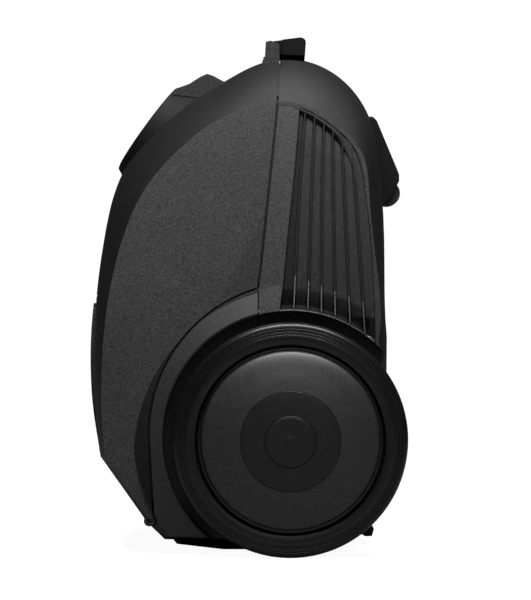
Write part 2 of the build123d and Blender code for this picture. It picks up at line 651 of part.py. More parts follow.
def side_filter(side):
    y0, y1 = sorted((side * 76.0, side * 84.0))
    body = block(36, 76, y0, y1, 212, 270)
    pleats = []
    for i in range(6):
        z = 215 + 9 * i
        pleats.append(block(38, 74, *sorted((side * 81.5, side * 86.0)), z, z + 5))
    return cut(body, pleats)


# ---- wheels and caster --------------------------------------------------------------
def wheel_parts(side):
    def ring(profile):
        return turned(profile, WHEEL_X, WHEEL_Z, side)

    tyre = ring([
        (79.0, 92.0), (84.0, 90.5), (87.6, 92.5), (88.4, 96.0), (88.4, 116.5), (87.6, 121.0), (85.6, 124.4),
        (84.3, 125.6), (83.9, 125.2), (82.0, 126.6), (81.6, 126.2), (80.2, 127.2), (79.0, 127.4),
    ])
    rim = ring([
        (6.0 + RUN, 87.0), (13.0, 87.0), (13.0, 108.0), (64.0, 112.0), (73.0, 96.0), (74.5, 91.0), (79.0, 91.0),
        (79.0, 128.0), (77.2, 128.4), (71.6, 127.0), (69.4, 122.4), (67.6, 122.6), (65.6, 129.4), (60.0, 132.0),
        (52.0, 134.8), (45.0, 136.9), (37.6, 138.6), (37.6, 134.0), (20.0, 134.0), (20.0, 130.0), (13.0, 130.0),
        (13.0, 128.0), (6.0 + RUN, 128.0),
    ])
    space = [(16.0, 112.5), (62.0, 116.0), (64.5, 119.5), (62.0, 127.5), (52.0, 131.2)]
    hollow_ring = ring(space + [(38.0, 131.4), (22.0, 131.0), (16.0, 127.0)])
    rim = cut(rim, hollow_ring)
    disc = ring([(19.3, 134.1), (37.3, 134.1), (37.3, 138.9), (33.0, 139.6), (26.0, 140.2), (19.3, 140.4)])
    skirt = [(0, 136.0), (13.0, 136.0), (13.0, 130.2), (17.0, 130.2), (17.0, 134.2), (19.0, 134.2)]
    cap = ring(skirt + [(19.0, 140.9), (17.0, 141.5), (4.5, 141.6), (2.6, 142.0), (0, 142.0)])
    shank = [(0, 64.0), (9.0, 64.0), (9.0, 65.9), (6.0, 65.9), (6.0, 129.4), (4.6, 129.4)]
    axle = ring(shank + [(4.6, 131.0), (6.0, 131.0), (6.0, 132.5), (0, 132.5)])
    clip = ring([(4.65, 129.5), (9.5, 129.5), (9.5, 130.9), (4.65, 130.9)])
    return tyre, rim, disc, cap, axle, clip


def caster_fork():
    outline = [
        (91.4, 339.0), (100.6, 339.2), (104.0, 335.2), (119.8, 297.4), (121.6, 292.5), (121.6, 287.5),
        (115.9, 277.0), (110.2, 269.6), (91.4, 269.6),
    ]
    wedge = keep(prism(outline, -13.4, 13.4), rod((80, 0, CASTER_Z), (130, 0, CASTER_Z), 36.4))
    plate = rod((91.4, 0, CASTER_Z), (94.0, 0, CASTER_Z), 36.4)
    fork = join(wedge, plate)
    fork = cut(fork, rod((ROLLER_X, -9.2, ROLLER_Z), (ROLLER_X, 9.2, ROLLER_Z), 11.2))
    fork = cut(fork, block(ROLLER_X, 130, -9.2, 9.2, ROLLER_Z - 14, ROLLER_Z + 11.2))
    fork = cut(fork, block(ROLLER_X - 11.2, 130, -9.2, 9.2, ROLLER_Z - 14, ROLLER_Z))
    fork = cut(fork, rod((80, 0, CASTER_Z), (95, 0, CASTER_Z), 4 + RUN))
    fork = cut(fork, rod((94.2, 0, CASTER_Z), (99, 0, CASTER_Z), 8.4))
    return cut(fork, rod((ROLLER_X, -11.6, ROLLER_Z), (ROLLER_X, 11.6, ROLLER_Z), 1.5))


# ---- assembly -----------------------------------------------------------------------
def main():
    os.makedirs(OUT, exist_ok=True)
    plain, inner, under = body_form(0.0), body_form(WALL), body_form(UNDER_LID)
    behind = body_form(WALL - PANEL_GAP)
    form = join(plain, arch_flare(-1), arch_flare(1))

    write("chassis", chassis(form, inner, under))
    write("motor_cover", motor_cover(form, inner))
    write("lid_shell", lid_shell(form, inner))
    write("grille_left", grille(form, behind, -1))
    write("grille_right", grille(form, behind, 1))

    write("hose_inlet", hose_inlet(form))
    write("inlet_seal", inlet_seal())
    write("lid_seal", lid_seal())
    write("lid_hinge_pins", hinge_rods(1.8, [(57.0, 93.0)]))
    write("latch_lever", latch_lever())
    write("latch_pin", rod((20.5, -26.5, 390.5), (20.5, 26.5, 390.5), 1.6))
    write("latch_spring", latch_spring())
    write("latch_keeper", latch_keeper())

    write("carry_handle", carry_handle())
    write("power_pedal", pedal(-1, 6))
    write("rewind_pedal", pedal(1, 3))

    write("bag_holder", bag_holder())
    write("bag_collar", bag_collar())
    write("dust_bag", dust_bag())
    x = MOTOR_X
    frame = block(x - 50, x + 50, -50, 50, 206.5, 219)
    frame = cut(frame, block(x - 46, x + 46, -46, 46, 209, 230), block(x - 42, x + 42, -42, 42, 200, 212))
    write("filter_frame", frame)
    write("motor_filter", block(x - 45.7, x + 45.7, -45.7, 45.7, 209.3, 217.5))
    write("exhaust_filter_left", side_filter(-1))
    write("exhaust_filter_right", side_filter(1))

    write("motor_can", motor_can())
    write("fan_cover", fan_cover())
    write("rotor_shaft", rotor_shaft())
    write("impeller", impeller())
    write("motor_mount_front", tube((MOTOR_X, 0, 186.0), (MOTOR_X, 0, 202.7), 27.0, 22.0))
    mount = rod((MOTOR_X, 0, 42.3), (MOTOR_X, 0, 57.7), 24.0)
    write("motor_mount_rear", cut(mount, rod((MOTOR_X, 0, 52), (MOTOR_X, 0, 60), 9.0)))
    board = block(-24.0, -22.2, -60, 60, 60, 118)
    write("control_board", board, block(-22.2, -8.0, 20, 40, 66, 90), block(-22.2, -12.0, -46, -20, 70, 100))
    write("mains_switch", block(-66, -52, -28, -14, 166, 186))

    write("reel_drum", reel_drum())
    write("reel_axle", rod((-64.5, 0, REEL_Z), (-27.0, 0, REEL_Z), 5.0))
    write("reel_spring_case", tube((-36.0, 0, REEL_Z), (-30.2, 0, REEL_Z), 34.0, 5.0))
    write("reel_bracket", reel_bracket(inner))
    write("cord_outlet", gland())

    skid = [(-56, 7.9), (-53, 4.2), (-17, 0.0), (58, 0.0), (62, 7.9)]
    foot = [(72, 20), (86, 42), (101.3, 12.8), (99.6, 7.2), (94.4, 7.0)]
    skid = cut(prism(skid, -54, 54), plain)
    screws = []
    for x in (26.0, 50.0):
        skid = cut(skid, rod((x, 0, -5), (x, 0, 3.5), 5.0), rod((x, 0, -5), (x, 0, 10), 2.1))
        screws.append(join(rod((x, 0, 3.5), (x, 0, 16), 2.0), rod((x, 0, 1.0), (x, 0, 3.5), 4.0)))
    write("rear_skid", skid)
    write("skid_screws", screws)
    write("parking_foot", cut(prism(foot, -22, 22), plain))

    for side, name in ((-1, "left"), (1, "right")):
        tyre, rim, disc, cap, axle, clip = wheel_parts(side)
        write(f"tyre_{name}", tyre)
        write(f"wheel_{name}", rim)
        write(f"wheel_disc_{name}", disc)
        write(f"hub_cap_{name}", cap)
        write(f"axle_{name}", axle)
        write(f"axle_clip_{name}", clip)

    write("caster_fork", caster_fork())
    stem = rod((78.0, 0, CASTER_Z), (96.4, 0, CASTER_Z), 4.0)
    write("caster_pivot", join(stem, rod((94.6, 0, CASTER_Z), (97.0, 0, CASTER_Z), 8.0)))
    write("caster_roller", tube((ROLLER_X, -8.8, ROLLER_Z), (ROLLER_X, 8.8, ROLLER_Z), ROLLER_R, 1.5 + RUN))
    write("caster_axle", rod((ROLLER_X, -11.5, ROLLER_Z), (ROLLER_X, 11.5, ROLLER_Z), 1.5))


def gland():
    """Grommet that the mains cord leaves through, in the rear lower corner."""
    deep, out = Vector(*GLAND_DEEP), Vector(*GLAND_OUT)
    away = (out - deep).normalized()
    face = Vector(-69.0, -26.0, 14.8)
    start, end = face - away * 6.0, face + away * 0.4
    return cut(rod(tuple(start), tuple(end), 6.95), rod(tuple(start - away * 5), tuple(end + away * 5), 3.6))


main()
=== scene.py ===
import math

import bmesh
import bpy
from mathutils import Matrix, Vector, noise


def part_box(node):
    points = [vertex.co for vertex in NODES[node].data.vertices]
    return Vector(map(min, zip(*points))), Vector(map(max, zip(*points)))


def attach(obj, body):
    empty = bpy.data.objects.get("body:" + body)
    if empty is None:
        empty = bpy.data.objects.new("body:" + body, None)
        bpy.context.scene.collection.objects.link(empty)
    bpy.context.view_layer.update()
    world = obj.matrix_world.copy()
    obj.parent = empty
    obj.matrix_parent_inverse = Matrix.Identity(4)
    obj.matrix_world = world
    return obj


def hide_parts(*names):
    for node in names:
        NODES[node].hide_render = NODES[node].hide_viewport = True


# A canister vacuum cleaner body, parked on its rear end, seen exactly from its side.
# Metres, in the CAD part's frame: +Z up, +X the machine's underside, Y along the wheels' axle.

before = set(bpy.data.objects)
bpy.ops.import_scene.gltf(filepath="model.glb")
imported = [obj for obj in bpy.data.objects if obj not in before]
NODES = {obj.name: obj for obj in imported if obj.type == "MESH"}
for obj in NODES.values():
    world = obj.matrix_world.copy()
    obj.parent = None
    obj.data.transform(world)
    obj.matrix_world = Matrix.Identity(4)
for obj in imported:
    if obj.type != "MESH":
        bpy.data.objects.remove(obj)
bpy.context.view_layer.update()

MM = 0.001
WHEEL = (0.0343, 0.0884)        # x, z of the wheels' axle


# ---- node helpers -------------------------------------------------------------------
class Graph:
    """A material's node tree, with short calls for the nodes used here."""

    def __init__(self, name):
        self.material = bpy.data.materials.new(name)
        self.material.use_nodes = True
        self.tree = self.material.node_tree
        self.tree.nodes.clear()
        self.out = self.add("ShaderNodeOutputMaterial")
        self.shader = self.add("ShaderNodeBsdfPrincipled")
        self.link(self.shader.outputs["BSDF"], self.out.inputs["Surface"])
        self.bevel = self.add("ShaderNodeBevel", samples=4)
        self.bevel.inputs["Radius"].default_value = 0.0005

    def add(self, kind, **values):
        node = self.tree.nodes.new(kind)
        for key, value in values.items():
            setattr(node, key, value)
        return node

    def link(self, a, b):
        self.tree.links.new(a, b)

    def put(self, socket, value):
        if hasattr(value, "is_output"):
            self.link(value, socket)
        else:
            socket.default_value = value

    def coords(self, kind="Object"):
        return self.add("ShaderNodeTexCoord").outputs[kind]

    def axes(self, vector):
        node = self.add("ShaderNodeSeparateXYZ")
        self.link(vector, node.inputs[0])
        return node.outputs

    def noise(self, scale, detail=2.0, rough=0.5, vector=None):
        node = self.add("ShaderNodeTexNoise")
        self.put(node.inputs["Vector"], vector or self.coords())
        self.put(node.inputs["Scale"], scale)
        self.put(node.inputs["Detail"], detail)
        self.put(node.inputs["Roughness"], rough)
        return node.outputs["Fac"]

    def voronoi(self, scale, vector=None):
        node = self.add("ShaderNodeTexVoronoi")
        self.put(node.inputs["Vector"], vector or self.coords())
        self.put(node.inputs["Scale"], scale)
        return node.outputs["Distance"]

    def wave(self, scale, turn):
        """Straight bands across the XZ plane, at an angle in degrees."""
        way = self.add("ShaderNodeMapping")
        self.link(self.coords(), way.inputs["Vector"])
        way.inputs["Rotation"].default_value = (0, math.radians(turn), 0)
        node = self.add("ShaderNodeTexWave")
        self.link(way.outputs[0], node.inputs["Vector"])
        node.inputs["Scale"].default_value = scale
        return node.outputs["Fac"]

    def math(self, operation, a, b=0.0, clamp=False):
        node = self.add("ShaderNodeMath", operation=operation, use_clamp=clamp)
        self.put(node.inputs[0], a)
        self.put(node.inputs[1], b)
        return node.outputs[0]

    def remap(self, value, low, high, to_low, to_high):
        node = self.add("ShaderNodeMapRange")
        ends = {"Value": value, "From Min": low, "From Max": high, "To Min": to_low, "To Max": to_high}
        for key, end in ends.items():
            self.put(node.inputs[key], end)
        return node.outputs["Result"]

    def mix(self, fac, a, b):
        node = self.add("ShaderNodeMix", data_type="RGBA")
        self.put(node.inputs[0], fac)
        self.put(node.inputs[6], a)
        self.put(node.inputs[7], b)
        return node.outputs[2]

    def blend(self, fac, a, b):
        """a where fac is 0 and b where it is 1, for plain numbers."""
        part_a = self.math("MULTIPLY", self.math("SUBTRACT", 1.0, fac), a)
        return self.math("ADD", part_a, self.math("MULTIPLY", fac, b))

    def bump(self, height, strength, distance, normal=None):
        node = self.add("ShaderNodeBump")
        self.put(node.inputs["Height"], height)
        self.put(node.inputs["Strength"], strength)
        self.put(node.inputs["Distance"], distance)
        self.link(normal or self.bevel.outputs[0], node.inputs["Normal"])
        return node.outputs["Normal"]

    def edges(self):
        """1 along sharp edges, 0 elsewhere: where the rounded normal leaves the true one."""
        node = self.add("ShaderNodeVectorMath", operation="DOT_PRODUCT")
        self.link(self.bevel.outputs[0], node.inputs[0])
        self.link(self.add("ShaderNodeNewGeometry").outputs["Normal"], node.inputs[1])
        return self.remap(node.outputs["Value"], 0.80, 0.985, 1.0, 0.0)


def grey(v, warm=0.0):
    return (v * (1 + warm), v, v * (1 - warm), 1.0)


GRAIN_SIZE = 0.9                # millimetres, of the moulded grain's cells
GRAIN_DEPTH = 0.00016           # metres
# how strongly edges are lightened and polished: partly wear, partly painted highlight
EDGE_WEAR_AND_HIGHLIGHT = 0.3
DUST = 0.25


def plastic(name, tone, rough, grain=0.0, spec=0.5, smooth=None, lift=None):
    """Moulded plastic: eroded grain, faint flow marks, a little dust, and lighter polished edges, partly
    worn and partly a painted highlight.

    smooth is (mask, tone, rough, grain), a second finish where mask(g) is 1; for the louvres it carries
    a painted shade instead.
    lift(g) is a height in metres.
    """
    g = Graph(name)
    edge = g.edges()
    cells = g.voronoi(1000.0 / GRAIN_SIZE)
    pits = g.noise(1000.0 / (GRAIN_SIZE * 1.5), 2.0, 0.7)
    if smooth:
        mask, tone_2, rough_2, grain_2 = smooth
        where = mask(g)
        tone, rough = g.blend(where, tone, tone_2), g.blend(where, rough, rough_2)
        grain = g.blend(where, grain, grain_2)
    flow = g.remap(g.noise(9.0, 3.0), 0.3, 0.7, 0.9, 1.1)
    grained = g.math("MINIMUM", g.math("MULTIPLY", grain, 2.0), 1.0)
    speck = g.blend(grained, 1.0, g.remap(pits, 0.35, 0.65, 0.55, 1.45))
    level = g.math("MULTIPLY", g.math("MULTIPLY", flow, speck), tone)
    patchy = g.remap(g.noise(120.0, 3.0), 0.35, 0.65, 0.4, 1.0)
    # lighter edges: partly wear, partly a painted highlight where edges catch the light
    rubbed = g.math("MULTIPLY", g.math("MULTIPLY", edge, EDGE_WEAR_AND_HIGHLIGHT), patchy)
    level = g.math("MULTIPLY", level, g.math("ADD", 1.0, g.math("MULTIPLY", rubbed, 1.6)))
    settled = g.math("MULTIPLY", g.remap(g.noise(240.0, 2.0), 0.62, 0.8, 0.0, 1.0), DUST * 0.02)
    level = g.math("ADD", level, settled)
    tint = g.add("ShaderNodeCombineColor")
    for channel, share in (("Red", 1.01), ("Green", 1.0), ("Blue", 1.0)):
        g.link(g.math("MULTIPLY", level, share), tint.inputs[channel])
    g.link(tint.outputs[0], g.shader.inputs["Base Color"])
    mottled = g.math("ADD", rough, g.remap(g.noise(34.0, 4.0, 0.6), 0.3, 0.7, -0.035, 0.035))
    polished = g.math("MULTIPLY", edge, 0.1 * EDGE_WEAR_AND_HIGHLIGHT)
    g.put(g.shader.inputs["Roughness"], g.math("SUBTRACT", mottled, polished))
    g.shader.inputs["Specular IOR Level"].default_value = spec
    normal = g.bump(g.noise(60.0, 1.0), 0.04, 0.0002)
    if lift:
        normal = g.bump(lift(g), 1.0, 1.0, normal)
    height = g.math("ADD", g.math("MULTIPLY", cells, 0.6), g.math("MULTIPLY", pits, 0.6))
    g.put(g.shader.inputs["Normal"], g.bump(height, grain, GRAIN_DEPTH, normal))
    return g.material


def metal(name, tone, rough, stretch=(1, 1, 1)):
    """Plated or drawn steel with brushing along one way, and dulled patches."""
    g = Graph(name)
    scale = g.add("ShaderNodeMapping")
    g.put(scale.inputs["Vector"], g.coords())
    scale.inputs["Scale"].default_value = stretch
    lines = g.noise(700.0, 3.0, 0.6, scale.outputs[0])
    dull = g.noise(45.0, 4.0)
    base = g.mix(g.remap(dull, 0.35, 0.7, 0, 1), grey(tone), grey(tone * 0.75, 0.02))
    rubbed = g.math("MULTIPLY", g.edges(), 0.4)
    g.put(g.shader.inputs["Base Color"], g.mix(rubbed, base, grey(min(0.9, tone * 1.3))))
    g.shader.inputs["Metallic"].default_value = 1.0
    g.put(g.shader.inputs["Roughness"], g.remap(lines, 0.3, 0.7, rough - 0.06, rough + 0.08))
    g.put(g.shader.inputs["Normal"], g.bump(lines, 0.15, 0.00005))
    return g.material


def rubber(name, tone, rough=0.62, height=None, depth=0.0004):
    """Moulded rubber, with an optional moulded pattern given as a height from 0 to 1."""
    g = Graph(name)
    speck = g.noise(900.0, 2.0)
    cloud = g.noise(20.0, 3.0)
    base = g.mix(g.remap(cloud, 0.3, 0.7, 0, 1), grey(tone * 0.85), grey(tone * 1.2))
    base = g.mix(g.math("MULTIPLY", g.edges(), 0.35), base, grey(tone * 2.0 + 0.004))
    g.put(g.shader.inputs["Base Color"], base)
    g.put(g.shader.inputs["Roughness"], g.remap(cloud, 0.3, 0.7, rough - 0.05, rough + 0.06))
    g.shader.inputs["Specular IOR Level"].default_value = 0.25
    normal = g.bump(speck, 0.25, 0.00008)
    if height:
        normal = g.bump(height(g), 1.0, depth, normal)
    g.put(g.shader.inputs["Normal"], normal)
    return g.material


def fibre(name, tone, scale, depth, warm=0.0):
    """Fleece, foam or pressed board: matt, with a porous or felted face."""
    g = Graph(name)
    pores = g.voronoi(scale)
    felt = g.noise(scale * 0.7, 5.0, 0.7)
    base = g.mix(g.remap(felt, 0.3, 0.7, 0, 1), grey(tone * 0.8, warm), grey(tone * 1.1, warm))
    rubbed = g.math("MULTIPLY", g.edges(), 0.2)
    g.put(g.shader.inputs["Base Color"], g.mix(rubbed, base, grey(tone * 0.6, warm)))
    g.put(g.shader.inputs["Roughness"], g.remap(g.noise(30.0), 0.3, 0.7, 0.85, 0.97))
    g.shader.inputs["Sheen Weight"].default_value = 0.3
    g.put(g.shader.inputs["Normal"], g.bump(g.math("ADD", pores, felt), 0.6, depth))
    return g.material


def circuit(name):
    """A printed board: green lacquer over a faint grid of tracks."""
    g = Graph(name)
    tracks = g.remap(g.voronoi(260.0), 0.25, 0.3, 0.0, 1.0)
    base = g.mix(tracks, (0.012, 0.09, 0.03, 1), (0.02, 0.15, 0.05, 1))
    rubbed = g.math("MULTIPLY", g.edges(), 0.6)
    g.put(g.shader.inputs["Base Color"], g.mix(rubbed, base, (0.3, 0.26, 0.14, 1)))
    g.put(g.shader.inputs["Roughness"], g.remap(g.noise(50.0), 0.3, 0.7, 0.3, 0.42))
    g.put(g.shader.inputs["Normal"], g.bump(tracks, 0.4, 0.0001))
    return g.material


# ---- the finishes -------------------------------------------------------------------
def off_cheek(g):
    """1 where the lid's shell turns away from the flat cheek, 0 on the cheek itself."""
    side = g.math("ABSOLUTE", g.axes(g.coords("Normal"))["Y"])
    return g.remap(side, 0.952, 0.962, 1.0, 0.0)


CREASE_WAY = (0.909, -0.417)     # x, z across the cheek's crease
CREASE_POINT = (-12.0, 205.0)    # millimetres, a point on it
CREASE_AT = (CREASE_POINT[0] * CREASE_WAY[0] + CREASE_POINT[1] * CREASE_WAY[1]) * MM
CREASE_FALL = -0.10


def cheek_crease(g):
    """The cheek falls away beyond a soft crease, which runs up from its lower corner to the seam."""
    x, _, z = g.axes(g.coords())
    across = g.math("ADD", g.math("MULTIPLY", x, CREASE_WAY[0]), g.math("MULTIPLY", z, CREASE_WAY[1]))
    past = g.math("SUBTRACT", across, CREASE_AT)
    rounded = g.math("SQRT", g.math("ADD", g.math("MULTIPLY", past, past), 0.000009))
    return g.math("MULTIPLY", g.math("ADD", past, rounded), CREASE_FALL)


def flare(height, slant, slope):
    """A face that turns up at a slope, smoothly, below the line z = height + slant * x."""
    def lift(g):
        x, _, z = g.axes(g.coords())
        depth = g.math("SUBTRACT", g.math("ADD", g.math("MULTIPLY", x, slant), height), z)
        rounded = g.math("SQRT", g.math("ADD", g.math("MULTIPLY", depth, depth), 0.0000006))
        return g.math("MULTIPLY", g.math("ADD", depth, rounded), slope / 2)
    return lift


# both flares meet the wheel arch: the flush strip's is short, the fins' starts higher up
STRIP_FLARE = flare(0.1995, 0.2, 0.16)
FIN_FLARE = flare(0.2265, -0.38, 0.40)


def arch_painted_shade(g):
    """1 where painted shade blacks out the vents' feet above the wheel arch, standing for their deep
    openings, fading out above them.
    """
    x, _, z = g.axes(g.coords())
    dx, dz = g.math("SUBTRACT", x, WHEEL[0]), g.math("SUBTRACT", z, WHEEL[1])
    squares = g.math("ADD", g.math("MULTIPLY", dx, dx), g.math("MULTIPLY", dz, dz))
    radius = g.math("SQRT", squares)
    right, low = g.remap(x, 0.0762, 0.0768, 0.0, 1.0), g.remap(z, 0.1798, 0.1806, 1.0, 0.0)
    foot = g.math("MULTIPLY", right, low)
    return g.math("MAXIMUM", g.remap(radius, 0.0985, 0.1090, 1.0, 0.0), foot)


def hatch(g):
    """Crossed ridges, as on a moulded grip."""
    return g.math("MAXIMUM", g.wave(130.0, 40.0), g.wave(130.0, -40.0))


SATIN_AROUND = (off_cheek, 0.007, 0.58, 0.06)
# painted shade: near black on the louvres' ground and facet just above the wheel arch
PAINTED_SHADE_BELOW = (arch_painted_shade, 0.0008, 0.8, 0.1)
SATIN = plastic("satin_black", 0.0075, 0.58, grain=0.06, spec=0.07)
CHASSIS = plastic("chassis_black", 0.026, 0.52, grain=0.55, spec=0.16, smooth=SATIN_AROUND)
GRAIN = plastic("lid_black", 0.033, 0.50, grain=0.55, spec=0.14, smooth=SATIN_AROUND, lift=cheek_crease)
GRILLE = plastic("grained_charcoal", 0.033, 0.50, grain=0.6, spec=0.2, lift=STRIP_FLARE)
# painted shade: the sunk ground is the grille's grained plastic, made darker for the shade of its recess
GROUND_PAINTED_SHADE = plastic("louvre_black_painted_shade", 0.019, 0.55, grain=0.6, spec=0.14, smooth=PAINTED_SHADE_BELOW)
# painted shade: the first sunk facet beside the flush strip, darker still for the shade under the
# strip's step
FACET_PAINTED_SHADE = plastic("facet_black_painted_shade", 0.009, 0.55, grain=0.5, spec=0.12, smooth=PAINTED_SHADE_BELOW)
FIN = plastic("fin_black", 0.014, 0.36, grain=0.05, spec=0.34, lift=FIN_FLARE)
COVER = plastic("cover_black", 0.014, 0.50, grain=0.45, spec=0.35)
DOME = plastic("wheel_black", 0.012, 0.45, grain=0.45, spec=0.4)
RIM = plastic("rim_black", 0.0025, 0.24, grain=0.03, spec=0.35)
GLOSS = plastic("smooth_black", 0.0045, 0.40, spec=0.3, grain=0.03)
DARK = plastic("dark_plastic", 0.010, 0.6, grain=0.3)
PEDAL = plastic("pedal_charcoal", 0.035, 0.42, grain=0.2)
HOLDER = plastic("holder_grey", 0.36, 0.5, grain=0.2)
STEEL = metal("plated_steel", 0.62, 0.3, (1, 30, 1))
ZINC = metal("zinc_steel", 0.45, 0.42, (30, 1, 1))
BLACK_STEEL = metal("blackened_steel", 0.03, 0.45, (1, 30, 1))
ALLOY = metal("fan_alloy", 0.7, 0.3, (1, 1, 30))
RUBBER = rubber("seal_rubber", 0.014)
TYRE = rubber("tyre_rubber", 0.004, 0.26)
GRIP = rubber("grip_rubber", 0.022, 0.55, hatch)
FLEECE = fibre("bag_fleece", 0.62, 900.0, 0.0003, 0.03)
BOARD = fibre("collar_board", 0.42, 500.0, 0.0001, 0.18)
FOAM = fibre("filter_foam", 0.10, 420.0, 0.0008)
CIRCUIT = circuit("circuit_board")

LOOKS = {
    "chassis": CHASSIS, "motor_cover": COVER, "lid_shell": GRAIN, "grille_left": GRILLE,
    "grille_right": GRILLE, "hose_inlet": SATIN, "inlet_seal": RUBBER, "lid_seal": RUBBER,
    "lid_hinge_pins": BLACK_STEEL, "latch_lever": SATIN, "latch_pin": STEEL, "latch_spring": STEEL,
    "latch_keeper": STEEL, "carry_handle": GRIP, "power_pedal": PEDAL, "rewind_pedal": PEDAL,
    "bag_holder": HOLDER, "filter_frame": HOLDER, "dust_bag": FLEECE, "bag_collar": BOARD,
    "motor_filter": FOAM, "exhaust_filter_left": FOAM, "exhaust_filter_right": FOAM,
    "control_board": CIRCUIT, "motor_can": ZINC, "fan_cover": ZINC, "rotor_shaft": STEEL,
    "impeller": ALLOY, "motor_mount_front": RUBBER, "motor_mount_rear": RUBBER,
    "mains_switch": DARK, "reel_drum": HOLDER, "reel_axle": STEEL, "reel_spring_case": ZINC,
    "reel_bracket": DARK, "cord_outlet": RUBBER, "rear_skid": SATIN, "skid_screws": STEEL,
    "parking_foot": SATIN, "caster_fork": SATIN, "caster_pivot": STEEL, "caster_roller": DARK,
    "caster_axle": STEEL,
}
for side in ("left", "right"):
    LOOKS[f"tyre_{side}"] = TYRE
    LOOKS[f"wheel_{side}"] = RIM
    LOOKS[f"wheel_disc_{side}"] = GLOSS
    LOOKS[f"hub_cap_{side}"] = GLOSS
    LOOKS[f"axle_{side}"] = STEEL
    LOOKS[f"axle_clip_{side}"] = STEEL
for name, material in LOOKS.items():
    NODES[name].data.materials.clear()
    NODES[name].data.materials.append(material)


# ---- exhaust louvres ----------------------------------------------------------------
# Millimetres. Each line is (x, z) points from the bottom up, in side view.
PANEL_SEAM = [
    (10.6, 150.0), (10.6, 201.5), (13.1, 217.7), (16.9, 254.3), (20.7, 291.1), (25.4, 337.8),
    (25.9, 343.0),
]
STRIP_EDGE = [
    (25.4, 176.0), (26.5, 185.6), (29.4, 209.5), (32.3, 241.6), (35.2, 267.9), (38.2, 297.3),
    (42.0, 342.4),
]
PANEL_EDGE = [
    (98.6, 150.0), (98.2, 186.0), (97.6, 202.0), (96.1, 231.0), (93.5, 260.1), (91.4, 277.2),
    (89.5, 291.2), (86.4, 302.7), (80.6, 313.1), (69.2, 324.5), (54.8, 334.9), (41.6, 340.9),
    (25.8, 342.6),
]
FINS = [
    [(37.4, 193.0), (41.1, 268.0), (45.4, 327.0)],
    [(48.0, 193.0), (50.5, 268.0), (53.2, 327.0)],
    [(58.1, 193.0), (58.7, 268.0), (60.4, 327.0)],
    [(68.4, 193.0), (67.3, 268.0), (67.2, 327.0)],
    [(79.1, 193.0), (76.0, 268.0), (73.9, 327.0)],
    [(89.5, 193.0), (84.7, 268.0), (80.6, 327.0)],
]
ARCH_R = 96.9                   # of the panel's lower edge, about the wheels' axle
PANEL_THICK = 3.0
EDGE_DEPTH = 0.35               # of the bead along the lower edge
BEAD_ROWS = 2
LOUVRE_ROWS = 72
STRIP_COLUMNS = 6               # faces across the flush strip
FIRST_FIN = 11                  # faces to the left of the first fin's groove
# the finishes of a panel's faces, by material slot; the ground's and the facet's darker tones are
# painted shade
PANEL_FINISHES_AND_SHADE = (GRILLE, FIN, GROUND_PAINTED_SHADE, FACET_PAINTED_SHADE)
STRIP_FACE, FIN_FACE, GROUND_FACE, FACET_FACE = range(4)


def cheek_y(x, z):
    """Half-width of the body's cheek, a patch of a large sphere."""
    return math.sqrt(950.0**2 - (x - 10.0) ** 2 - (z - 120.0) ** 2) - 846.0


def along(points, z):
    """x at height z on a line of (x, z) points, run on straight past its ends."""
    for (x0, z0), (x1, z1) in zip(points, points[1:]):
        if z <= z1 or (x1, z1) == points[-1]:
            return x0 + (x1 - x0) * (z - z0) / (z1 - z0)


def height_over(x):
    """Top of the panel above x."""
    for (x1, z1), (x0, z0) in zip(PANEL_EDGE, PANEL_EDGE[1:]):
        if x0 <= x <= x1:
            return z0 + (z1 - z0) * (x - x0) / (x1 - x0)
    return PANEL_EDGE[-1][1] if x < PANEL_EDGE[-1][0] else PANEL_EDGE[0][1]


def solve(low, high, inside):
    """The height between low, where inside is true, and high, where it isn't."""
    for _ in range(40):
        middle = (low + high) / 2
        low, high = (middle, high) if inside(middle) else (low, middle)
    return low


def from_arch(x, z):
    """How far a point lies outside the panel's lower edge."""
    return math.hypot(x - WHEEL[0] / MM, z - WHEEL[1] / MM) - ARCH_R


def ground_depth(x, z, top):
    """The ground between the fins: shallow, sloping in at its top, and deep above the wheel arch."""
    upper = max(0.0, (z - (top - 22.0)) / 22.0)
    above = from_arch(x, z)
    if above < 2.4:
        return 2.3
    lower = max(0.0, min(1.0, (16.0 - above) / 11.0))
    return 0.8 + 1.4 * upper + 3.4 * lower


def louvre_columns():
    """(line, offset across it, kind) from the seam to the outer edge.

    A line is a list of points, or a share of the way across the flush strip. The kind says how
    deep the face is there.
    """
    columns = [(share, 0.0, "strip") for share in (0.0, 0.2, 0.4, 0.6, 0.8)]
    columns += [
        (1.0, -0.3, "strip"), (1.0, 0.0, "chamfer"), (1.0, 0.05, "groove"),
        (1.0, 1.0, "groove"), (1.0, 1.1, "ground"),
    ]
    for fin in FINS:
        columns += [(fin, -4.2, "ground")] if fin is not FINS[0] else []
        columns += [
            (fin, -1.5, "ground"), (fin, -1.45, "groove"), (fin, -0.65, "groove"),
            (fin, -0.6, "chamfer"), (fin, -0.3, "fin"), (fin, 0.3, "fin"), (fin, 0.6, "chamfer"),
            (fin, 0.65, "groove"), (fin, 1.45, "groove"), (fin, 1.5, "ground"),
        ]
    border = PANEL_EDGE[:-1]
    return columns + [(border, offset, "strip") for offset in (-3.4, -1.6, 0.0)]


def column_x(line, offset, z):
    if isinstance(line, float):
        seam, edge = along(PANEL_SEAM, z), along(STRIP_EDGE, z)
        return seam + (edge - seam) * line + offset
    return along(line, z) + offset


